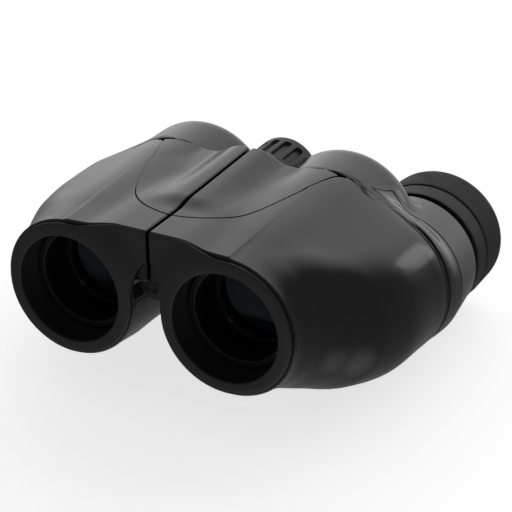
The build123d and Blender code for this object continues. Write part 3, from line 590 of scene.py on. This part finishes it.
class Skin:
    """The skin of one half, drawn in by inset.  Its points are given by a depth and by t, the
    share of the way round from the slit, over the top, to the lower edge beside the hinge."""

    columns = 340
    table_rows = 300                 # depths at which the start, end and spread are known
    anchors = (0, 0.36, 0.60, 1)     # t at the slit, the barrel's top, the outside, the end

    def __init__(self, inset):
        self.inset = inset
        self.depths = np.linspace(0.5, neck_end + 0.5, self.table_rows)
        dense = np.linspace(-0.5 * math.pi, 1.5 * math.pi, 721)[None, :]
        depth = self.depths[:, None] + 0 * dense
        x, z = self.points(depth, dense + 0 * depth)
        clear = np.hypot(x, z - hinge_z) - room_radius(depth)
        top = dense.shape[1] // 2            # the way that points left, into the hinge
        start = top - np.argmax(clear[:, top::-1] > 0, axis=1)
        end = top + np.argmax(clear[:, top:] > 0, axis=1)
        step = dense[0, 1] - dense[0, 0]
        rows = np.arange(len(self.depths))
        past = clear[rows, start] / (clear[rows, start] - clear[rows, start + 1])
        self.start = dense[0, start] + past * step
        past = clear[rows, end] / (clear[rows, end] - clear[rows, end - 1])
        self.end = dense[0, end] - past * step - 2 * math.pi
        self.spread = self.even_shares()

    def even_shares(self):
        """For each depth, the share of the turn reached at each t, so that the points lie
        evenly along the outline and closer where it bends.  The top of the barrel and the
        outermost point of the housing keep the same t at every depth."""
        share = np.linspace(0, 1, 600)[None, :]
        depth = self.depths[:, None] + 0 * share
        x, z = self.points(depth, self.start[:, None] + (self.end - self.start)[:, None] * share)
        dx, dz = np.diff(x, axis=1), np.diff(z, axis=1)
        length = np.hypot(dx, dz)
        heading = np.unwrap(np.arctan2(dz, dx), axis=1)
        bend = np.abs(np.diff(heading, axis=1, prepend=heading[:, :1]))
        run = np.cumsum(length + 2.2 * np.minimum(bend, 0.3), axis=1)
        run = np.concatenate([np.zeros((len(run), 1)), run], axis=1) / run[:, -1:]
        t = np.linspace(0, 1, self.columns + 1)
        crest, outermost = np.argmax(x >= objective_x, axis=1), np.argmax(x, axis=1)
        even = []
        for row, first, second in zip(run, crest, outermost):
            wanted = np.interp(t, self.anchors, (0, row[first], row[second], 1))
            even.append(np.interp(wanted, row, share[0]))
        even = np.array(even)
        kernel = np.hanning(15)[1:-1]
        padded = np.pad(even, ((6, 6), (0, 0)), mode="edge")
        shifted = [padded[k:k + len(even)] * kernel[k] for k in range(len(kernel))]
        return np.sum(shifted, axis=0) / kernel.sum()

    def points(self, depth, angle, inset=None):
        """x and z where a ray at this angle from the centre leaves the outline."""
        x, z = centre_of(depth)
        outline = section(depth)
        drawn = self.inset if inset is None else inset
        reach = first_edge(lambda px, pz: outline(px, pz) + drawn, x, z, angle)
        return x + reach * np.cos(angle), z + reach * np.sin(angle)

    def at(self, depth, column, roll=0.0):
        """Points (x, depth, z) at a depth for each column number, drawn in further by roll."""
        row = (depth - self.depths[0]) / (self.depths[1] - self.depths[0])
        row = np.clip(row, 0, self.table_rows - 1.01)
        low = row.astype(int)
        part = row - low
        low_share = self.spread[low, column]
        share = low_share + (self.spread[low + 1, column] - low_share) * part
        start = self.start[low] + (self.start[low + 1] - self.start[low]) * part
        end = self.end[low] + (self.end[low + 1] - self.end[low]) * part
        x, z = self.points(depth, start + (end - start) * share, self.inset + roll)
        return np.stack([x, depth, z], -1)


outer_skin = Skin(0.0)
inner_skin = Skin(wall)
every_column = np.arange(Skin.columns + 1)[None, :]


def ring_sweep(radius):
    """How far the front face falls back, as its distance from the objective axis grows."""
    return ring_fall * ease(radius, *ring_fall_radii)


def seam_depths():
    """Depth of the rear cover's seam in each column: on the top it follows a curve in plan,
    depth as a function of x, and elsewhere it is the shoulder."""
    depth = np.linspace(6.0, shoulder, 260)[:, None]
    grid = outer_skin.at(depth + 0.0 * every_column, every_column + 0 * depth.astype(int))
    wanted = smooth_run(grid[..., 0], seam_places, seam_places_depth)
    behind = grid[..., 1] >= wanted
    behind[-1] = True
    first = np.argmax(behind, axis=0)
    columns = np.arange(grid.shape[1])
    before = np.maximum(first - 1, 0)
    lead = (grid[..., 1] - wanted)[first, columns]
    lag = (grid[..., 1] - wanted)[before, columns]
    part = np.clip(lead / np.where(first > before, lead - lag, 1.0), 0, 1)
    found = depth[first, 0] - part * (depth[1, 0] - depth[0, 0])
    outermost = np.argmax(grid[-1, :, 0])
    found[outermost:] = shoulder
    smooth = np.convolve(np.pad(found, 3, mode="edge"), np.ones(7) / 7, mode="valid")
    smooth[outermost:] = shoulder
    return np.minimum(smooth, shoulder)


def front_depths():
    """Where the front shell starts in each column, following the front ring's web."""
    depth = np.full((1, Skin.columns + 1), 2.0)
    grid = outer_skin.at(depth, every_column)[0]
    radius = np.hypot(grid[:, 0] - objective_x, grid[:, 2] - objective_z)
    return 1.2 + 0.75 * np.clip(ring_sweep(radius) - ring_sweep(16.2), 0, 2)


seam = seam_depths()[None, :]
front = front_depths()[None, :]


def seam_lean():
    """How much wider the gap must be along the depth than across the seam: the length of the
    seam over its run round the outline, in each column."""
    line = outer_skin.at(seam, every_column)[0]
    along = np.gradient(line, axis=0)
    run = np.hypot(along[:, 0], along[:, 2])
    lean = np.linalg.norm(along, axis=1) / np.maximum(run, 1e-6)
    smooth = np.convolve(np.pad(lean, 4, mode="edge"), np.ones(9) / 9, mode="valid")
    return np.clip(smooth, 1.0, 4.0)[None, :]


lean = seam_lean()


def row_shares(roll_start, roll_end, rows, total):
    """Rows between two rounded edges as distances from the first: close together over each
    rounding, even between.  total is the length of each column."""
    turn = np.linspace(0, 0.5 * math.pi, 7)[:, None]
    first = roll_start * (1 - np.cos(turn)) + 0 * total
    last = total - roll_end * (1 - np.cos(turn[::-1]))
    middle = np.linspace(0, 1, rows + 2)[1:-1, None]
    return np.concatenate([first, first[-1] + (last[0] - first[-1]) * middle, last])


def quarter_columns():
    """Every fourth column, for the coarser inside of a casing."""
    return np.arange(0, Skin.columns + 1, 4)[None, :]


def front_shell_grids():
    """Outside and inside of the front shell: in each column the rows run from the front
    ring's web to the seam, and the outside is drawn in over both rounded edges."""
    length = seam - seam_gap / 2 * lean - front
    gone = row_shares(front_roll, seam_roll * lean, 175, length)
    roll = edge_roll(gone, front_roll) + edge_roll((length - gone) / lean, seam_roll)
    outer = outer_skin.at(front + gone, every_column + 0 * gone.astype(int), roll)
    picked = quarter_columns()
    share = np.linspace(0, 1, (len(gone) - 1) // 4 + 1)[:, None]
    depth = front[:, picked[0]] + length[:, picked[0]] * share
    inner = inner_skin.at(depth, picked + 0 * depth.astype(int))
    return outer, inner


def rear_stages(start, roll, first_rows, panel_rows, hump_rows):
    """Row depths of the rear cover: to the panel's rear edge, over it, and on to the hump's
    rear face.  In columns that start behind the panel the first two stages are very short.
    Also gives the distances of the first stage from the seam."""
    turn = np.linspace(0, 0.5 * math.pi, 7)[:, None]
    rolled = roll * (1 - np.cos(turn)) + 0 * start
    length = np.maximum(panel_end - 1.4 - start, 1.2)
    even = rolled[-1] + (length - rolled[-1]) * np.linspace(0, 1, first_rows + 1)[1:, None]
    gone = np.concatenate([rolled, even])
    first = start + gone
    panel_edge = np.maximum(panel_end + 0.6, first[-1] + 0.8)
    share = np.linspace(0, 1, panel_rows + 1)[1:, None]
    second = first[-1] + (panel_edge - first[-1]) * share
    turn = np.sin(np.linspace(0, 0.5 * math.pi, hump_rows + 1))[1:, None]
    third = second[-1] + (barrel_end - second[-1]) * turn
    return np.concatenate([first, second, third]), gone


def neck_radius(depth):
    """Outside of the neck, which narrows evenly towards its end."""
    back = (depth - shoulder) / (neck_end - shoulder)
    return neck_front_r + (neck_rear_r - neck_front_r) * back


def rear_cover_grid(skin, start, columns, stage_rows, face_rows, neck_rows):
    """Skin of the rear cover: from the seam to the hump's rear face, across that face onto
    the neck, where the radius from the eyepiece axis goes evenly from the outline's to the
    neck's, and along the neck to its end."""
    outside = skin is outer_skin
    face_depth = barrel_end if outside else barrel_end - rear_wall
    inset = 0 if outside else neck_wall
    own_lean = lean[:, columns[0]]
    body_depth, gone = rear_stages(start, seam_roll * own_lean, *stage_rows)
    body_depth = np.minimum(body_depth, face_depth)
    roll = np.zeros_like(body_depth)
    if outside:
        roll[: len(gone)] = edge_roll(gone / own_lean, seam_roll)
    body = skin.at(body_depth, columns + 0 * body_depth.astype(int), roll)
    rear_edge = body[-1]
    angle = np.arctan2(rear_edge[:, 2] - eye_z, rear_edge[:, 0] - eye_x)[None, :]
    reach = np.hypot(rear_edge[:, 2] - eye_z, rear_edge[:, 0] - eye_x)[None, :]

    neck_start = face_depth + face_run
    across = np.linspace(0, 1, face_rows + 1)[1:, None]
    start_r = neck_radius(neck_start) - inset
    face_r = start_r + (reach - start_r) * (1 - across)
    share = np.linspace(0, 1, neck_rows + 1)[1:, None]
    neck_at = neck_start + (neck_end - neck_start) * share
    depth = np.concatenate([face_depth + face_run * across, neck_at]) + 0 * angle
    radius = np.concatenate([face_r, neck_radius(neck_at) - inset + 0 * angle])
    if outside:
        radius = radius - edge_roll(neck_end - depth, neck_rim)
    sweep = np.stack([eye_x + radius * np.cos(angle), depth, eye_z + radius * np.sin(angle)], -1)
    return np.concatenate([body, sweep])


def rear_cover_grids():
    """Outside and inside of the rear cover, with four outer rows to each inner one."""
    start = seam + seam_gap / 2 * lean
    outer = rear_cover_grid(outer_skin, start, every_column, (107, 20, 44), 12, 17)
    picked = quarter_columns()
    inner = rear_cover_grid(inner_skin, start[:, picked[0]], picked, (17, 5, 12), 5, 5)
    return outer[: (len(inner) - 1) * 4 + 1], inner


def mirrored(points):
    """The same points on the other half."""
    return points * np.array([-1.0, 1.0, 1.0])


sides = (("left", 1.0), ("right", -1.0))
for make, node in ((front_shell_grids, "front_shell"), (rear_cover_grids, "rear_cover")):
    patch, patch_faces = thick_patch(*make(), 4)
    for side, sign in sides:
        placed = patch if sign > 0 else mirrored(patch)
        name = f"{side}_{node}"
        make_piece(name + "_skin", placed, patch_faces, side + "_half", name, gloss, 30)


# ------------------------------------------------------------------- front rings
def bezel_outline(x, z):
    """Signed distance to the ring and its web, from the objective axis: a circle joined to
    a web that ends at the slit, under a low roof and over an elliptical arch."""
    ring = np.hypot(x, z) - 15.4
    roof = z - (17.05 - 1.9 * ease(x + objective_x, 7.0, 20.0))
    arch = (1 - np.hypot((x + objective_x) / 3.75, z / 9.85)) * 3.4
    web = soft_max(soft_max(roof, arch, 0.5), slit - x - objective_x, 0.4)
    web = np.maximum(np.maximum(web, x), -z)
    return soft_min(ring, web, 0.5)


def front_bezel_grid():
    """Section of the ring for each angle round the objective axis: bore, face that sweeps
    back towards the slit, rounded outer edge, back, and the sleeve inside the shell."""
    around = 520
    turn = np.linspace(0, 2 * math.pi, 4001)
    edge = first_edge(bezel_outline, 0.0, 0.0, turn)
    run = np.hypot(np.diff(edge * np.cos(turn)), np.diff(edge * np.sin(turn)))
    run = np.concatenate([[0], np.cumsum(run)])
    angle = np.interp(np.linspace(0, run[-1], around, endpoint=False), run, turn)[None, :]
    reach = first_edge(bezel_outline, 0.0, 0.0, angle)
    one = np.ones_like(angle)
    bore, lip, rounding, thick = 12.5, 0.35, 0.4, 1.15
    sleeve_r, sleeve_end = 13.3, 3.4
    quarter = np.linspace(0, 0.5 * math.pi, 7)[:, None]
    rows = [(bore * one, sleeve_end * one), (bore * one, 1.6 * one)]
    rows += list(zip(bore + lip * (1 - np.cos(quarter)) * one, lip * (1 - np.sin(quarter)) * one))
    face_share = np.linspace(0, 1, 22)[1:, None]
    face_r = bore + lip + (reach - rounding - bore - lip) * face_share
    rows += list(zip(face_r, ring_sweep(face_r)))
    edge_at = ring_sweep(reach - rounding)
    turned_r = reach - rounding * (1 - np.sin(quarter[1:]))
    rows += list(zip(turned_r, edge_at + rounding * (1 - np.cos(quarter[1:]))))
    back_share = np.linspace(0, 1, 8)[:, None]
    back_r = reach + (sleeve_r - reach) * back_share
    rows += list(zip(back_r, np.maximum(ring_sweep(back_r), edge_at * (1 - back_share)) + thick))
    rows += [(sleeve_r * one, sleeve_end * one)]
    radius = np.concatenate([np.atleast_2d(row[0]) for row in rows])
    depth = np.concatenate([np.atleast_2d(row[1]) for row in rows])
    x = objective_x + radius * np.cos(angle)
    z = objective_z + radius * np.sin(angle)
    return np.stack([x, depth, z], -1), grid_faces(len(radius), around, True, True)


bezel_points, bezel_faces = front_bezel_grid()
for side, sign in sides:
    placed = bezel_points if sign > 0 else mirrored(bezel_points)
    name = side + "_front_bezel"
    make_piece(name + "_skin", placed, bezel_faces, side + "_half", name, satin, 34)


# --------------------------------------------------------------- objective groups
def lens_loop(front, rear, front_pole, rear_pole, radius, land):
    """Section of a lens: two spherical faces inside a flat land, drawn to the axis."""
    inner = radius - land
    share = np.linspace(0, 1, 14)
    bulge = 1 - share**2
    face = [(front + (front_pole - front) * b, s * inner, 0) for s, b in zip(share, bulge)]
    back = [(rear + (rear_pole - rear) * b, s * inner, 0) for s, b in zip(share, bulge)]
    return face + [(front, radius, 0.12), (rear, radius, 0.12)] + back[::-1]


retainer = Turned("left_objective_retainer")
crown = Turned("left_objective_crown")
flint = Turned("left_objective_flint")
for side, sign in sides:
    group = side + "_objective"
    rim_r, bore = cell.radius, 10.55
    turned_piece(side + "_objective_cell", group, (
        (cell.front, bore + 0.12, 0.25), (cell.front, rim_r - 0.45, 0.3),
        (cell.front + 1.1, rim_r - 0.45, 0.1), (cell.front + 1.3, rim_r, 0.1),
        (cell.rear, rim_r, 0.3), (cell.rear, 9.4, 0.2),
        (flint.rear, 9.4, 0.1), (flint.rear, bore, 0.0), (cell.front + 0.6, bore, 0.1),
    ), anodised_black, 200, at=Turned(side + "_objective_crown"))
    turned_piece(side + "_objective_retainer", group, (
        (retainer.front, 9.4, 0.25), (retainer.front, bore, 0.15),
        (retainer.rear, bore, 0.0), (retainer.rear, 9.4, 0.15),
    ), anodised_black, 180)
    turned_piece(side + "_objective_crown", group, lens_loop(
        crown.front + 0.8, crown.rear - 1.0, crown.front, crown.rear, 10.5, 0.3
    ), crown_glass, 128)
    turned_piece(side + "_objective_flint", group, lens_loop(
        flint.front + 0.02, flint.rear, flint.front + 1.02, flint.rear - 0.02, 10.5, 0.3
    ), flint_glass, 128)


# ------------------------------------------------------------ eyepieces and cups
def dioptre_relief(depth, radius, angle):
    """Ribs round the ring: raised bars with scalloped ends in front of a plain collar."""
    bars = 0.5 + 0.5 * np.cos(48 * angle)
    zone = ease(ring.rear - 0.75 - depth, 0.0, 0.35)
    zone = zone * ease(radius, ring.radius - 1.2, ring.radius - 0.3)
    return radius - 0.42 * zone * (1 - ease(bars, 0.25, 0.6))


trim = Turned("left_trim_ring")
ring = Turned("dioptre_ring")
for side, sign in sides:
    own = Turned(side + "_eyecup")
    turned_piece(side + "_eyecup", side + "_half", (
        (own.front, 13.9, 0.1), (own.front, own.radius, 0.45), (own.rear - 0.2, own.radius, 1.9),
        (own.rear, 13.4, 1.0), (own.rear - 0.5, 11.4, 0.9), (own.rear - 4.0, 11.4, 0.6),
        (own.rear - 4.0, 13.9, 0.0),
    ), rubber, 240, 0.8)
    body = side + "_half" if sign > 0 else "right_ocular"
    eye = Turned(side + "_eye_lens")
    holder = Turned(side + "_ocular_retainer")
    turned_piece(side + "_eye_lens", body, lens_loop(
        eye.front + 0.9, eye.rear - 0.6, eye.front, eye.rear, 10.6, 0.8
    ), crown_glass, 128)
    turned_piece(side + "_ocular_retainer", body, (
        (holder.front, 9.8, 0.2), (holder.front, 10.6, 0.1),
        (holder.rear, 10.6, 0.15), (holder.rear, 9.8, 0.3),
    ), anodised_black, 160)

turned_piece("left_trim_ring", "left_half", (
    (trim.front, 13.9, 0.1), (trim.front, trim.radius, 0.3),
    (trim.rear, trim.radius, 0.3), (trim.rear, 13.9, 0.1),
), satin, 220, 0.8)
turned_piece("dioptre_ring", "dioptre_ring", (
    (ring.front, 13.97, 0.1), (ring.front, ring.radius, 0.3),
    (ring.rear, ring.radius, 0.3), (ring.rear, 13.97, 0.1),
), satin, 48 * 14, 0.3, dioptre_relief)


# ------------------------------------------------------- hinge and focusing wheel
def wheel_relief(depth, radius, angle):
    """Sixteen finger grooves with rounded ends, sunk between narrow ribs."""
    pitch = 2 * math.pi / 16
    offset = np.abs((angle / pitch) % 1 - 0.5) * pitch * wheel.radius
    start, end = wheel.front + 1.7, wheel.rear - 2.2
    ends = np.maximum(np.maximum(start + 0.9 - depth, depth - end + 0.9), 0)
    inside = 0.98 - np.hypot(offset, ends)
    zone = ease(radius, wheel.radius - 0.8, wheel.radius - 0.3)
    return radius - 0.75 * ease(inside, -0.1, 0.16) * zone


cap = Turned("wheel_cap")
hinge_cap = Turned("hinge_cap")
turned_piece("focus_wheel", "focus_wheel", (
    (wheel.front, 1.8, 0.0), (wheel.front, wheel.radius, 0.5), (wheel.rear, wheel.radius, 0.45),
    (wheel.rear, 6.2, 0.3), (wheel.rear - 0.35, 5.4, 0.3), (wheel.rear - 0.35, cap.radius, 0.1),
    (cap.front, cap.radius, 0.0), (cap.front, 1.8, 0.0),
), wheel_finish, 16 * 28, 0.22, wheel_relief)
turned_piece("wheel_cap", "focus_wheel", (
    (cap.front, 0.0, 0.0), (cap.front, cap.radius - 0.05, 0.0), (cap.rear, cap.radius - 0.05, 0.25),
    (cap.rear, 3.2, 0.2), (cap.rear - 0.2, 2.9, 0.2), (cap.rear - 0.2, 0.0, 0.0),
), satin, 128)
turned_piece("hinge_cap", "left_half", (
    (hinge_cap.front, 0.0, 0.0), (hinge_cap.front, 1.2, 0.3), (hinge_cap.front + 0.35, 1.9, 0.3),
    (hinge_cap.front + 0.35, 3.6, 0.2), (hinge_cap.front, 4.0, 0.2),
    (hinge_cap.front, hinge_cap.radius, 0.5), (hinge_cap.front + 1.2, hinge_cap.radius, 0.1),
    (hinge_cap.front + 1.2, 1.9, 0.0), (hinge_cap.rear, 1.9, 0.2), (hinge_cap.rear, 0.0, 0.0),
), black_steel, 128)

# ------------------------------------------ finishes of the pieces kept from the CAD
kept_finishes = {
    "chassis": casting, "prism_plate": casting, "focus_carriage": casting,
    "ocular_sleeve": flat, "ocular_barrel": anodised_black, "ocular_spacer": anodised_black,
    "field_lens": crown_glass, "rear_prism_clip": spring_steel, "front_prism_clip": spring_steel,
    "rear_prism": prism_glass, "front_prism": prism_glass, "focus_arm": spring_steel,
    "prism_screws": screw_steel, "cover_screws": black_steel, "cross_pin": screw_steel,
    "dioptre_pin": screw_steel, "hinge_shaft": black_steel, "hinge_nut": black_steel,
    "spindle_retainer": black_steel, "focus_spindle": screw_steel, "hinge_washers": black_steel,
    "focus_nut": brass,
}
for node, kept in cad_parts.items():
    plain = node.split("_", 1)[1] if node.startswith(("left_", "right_")) else node
    if plain in kept_finishes:
        kept.data.materials.clear()
        kept.data.materials.append(kept_finishes[plain])


# ------------------------------------------------------------------ floor and light
def make_floor():
    """A flat pale sheet under the object.  It shines a little by itself, as a lit table does."""
    reach = np.linspace(-4.0, 4.0, 41)
    x, y = np.meshgrid(reach, reach)
    points = np.stack([x, y, 0 * x], -1)
    mesh = bpy.data.meshes.new("floor_sheet")
    mesh.from_pydata(points.reshape(-1, 3), [], grid_faces(len(reach), len(reach)).tolist())
    finish = Finish("pale_table", Specular_IOR_Level=0.2)
    fibre = finish.noise(1200, 3.0)
    finish.set("Base Color", finish.colour(fibre, (0.86, 0.86, 0.86), (0.90, 0.90, 0.90)))
    finish.set("Roughness", 0.8 + fibre * 0.1)
    finish.shader.inputs["Emission Color"].default_value = (1, 1, 1, 1)
    finish.shader.inputs["Emission Strength"].default_value = 0.72
    mesh.materials.append(finish.material)
    floor = bpy.data.objects.new("floor_sheet", mesh)
    floor.visible_glossy = False
    bpy.context.scene.collection.objects.link(floor)


def soft_box(name, place, aim, width, height, power):
    """A square-cornered lamp panel that faces aim."""
    lamp = bpy.data.lights.new(name, "AREA")
    lamp.shape = "RECTANGLE"
    lamp.size, lamp.size_y, lamp.energy = width, height, power
    holder = bpy.data.objects.new(name, lamp)
    holder.location = place
    holder.rotation_mode = "QUATERNION"
    holder.rotation_quaternion = (Vector(aim) - Vector(place)).to_track_quat("-Z", "Y")
    bpy.context.scene.collection.objects.link(holder)


def sky_patch(tree, toward, start, end, dark, light):
    """Light that grows from dark to light as directions turn towards one of them."""
    place = tree.nodes.new("ShaderNodeTexCoord")
    turn = tree.nodes.new("ShaderNodeVectorMath")
    turn.operation = "DOT_PRODUCT"
    turn.inputs[1].default_value = Vector(toward).normalized()
    grow = tree.nodes.new("ShaderNodeMapRange")
    grow.interpolation_type = "SMOOTHSTEP"
    for socket, number in zip(grow.inputs[1:5], (start, end, dark, light)):
        socket.default_value = number
    tree.links.new(place.outputs["Generated"], turn.inputs[0])
    tree.links.new(turn.outputs["Value"], grow.inputs[0])
    return grow.outputs[0]


def make_light():
    """A wide pale screen behind the object, dimmer above and in front, a glow from below and
    one soft box."""
    behind, below = (-0.16, 0.92, 0.36), (0.25, -0.35, -0.90)
    world = bpy.data.worlds.new("studio")
    bpy.context.scene.world = world
    world.use_nodes = True
    tree = world.node_tree
    total = tree.nodes.new("ShaderNodeMath")
    tree.links.new(sky_patch(tree, behind, 0.58, 0.92, 0.17, 1.08), total.inputs[0])
    tree.links.new(sky_patch(tree, below, 0.76, 0.95, 0.0, 0.6), total.inputs[1])
    tree.links.new(total.outputs[0], tree.nodes["Background"].inputs["Strength"])
    tree.nodes["Background"].inputs["Color"].default_value = (1, 1, 1, 1)
    middle = ((cad_low + cad_high) / 2)[:]
    soft_box("side_box", (0.50, 0.72, 0.28), middle, 0.14, 0.26, 0.17)


def make_camera():
    """Looks from the front right, a little above, with the lens of a long portrait view."""
    azimuth, elevation, tilt = (math.radians(v) for v in (28.4, 26.69, -0.45))
    reach = 340.2 * MM
    aim = Vector((26.9 * MM, front_y * MM, 45.2 * MM))
    back = Vector((
        math.sin(azimuth) * math.cos(elevation),
        -math.cos(azimuth) * math.cos(elevation),
        math.sin(elevation),
    ))
    right = Vector((math.cos(azimuth), math.sin(azimuth), 0))
    up = back.cross(right)
    leaned_right = right * math.cos(tilt) + up * math.sin(tilt)
    leaned_up = up * math.cos(tilt) - right * math.sin(tilt)
    camera = bpy.data.objects.new("camera", bpy.data.cameras.new("camera"))
    camera.data.lens, camera.data.sensor_width = 120.1, 36.0
    camera.data.clip_start, camera.data.clip_end = 0.01, 20.0
    camera.matrix_world = Matrix.Translation(aim + back * reach) @ Matrix(
        (leaned_right, leaned_up, back)
    ).transposed().to_4x4()
    bpy.context.scene.collection.objects.link(camera)
    bpy.context.scene.camera = camera


make_floor()
make_light()
make_camera()
bpy.context.scene.view_settings.view_transform = "Standard"
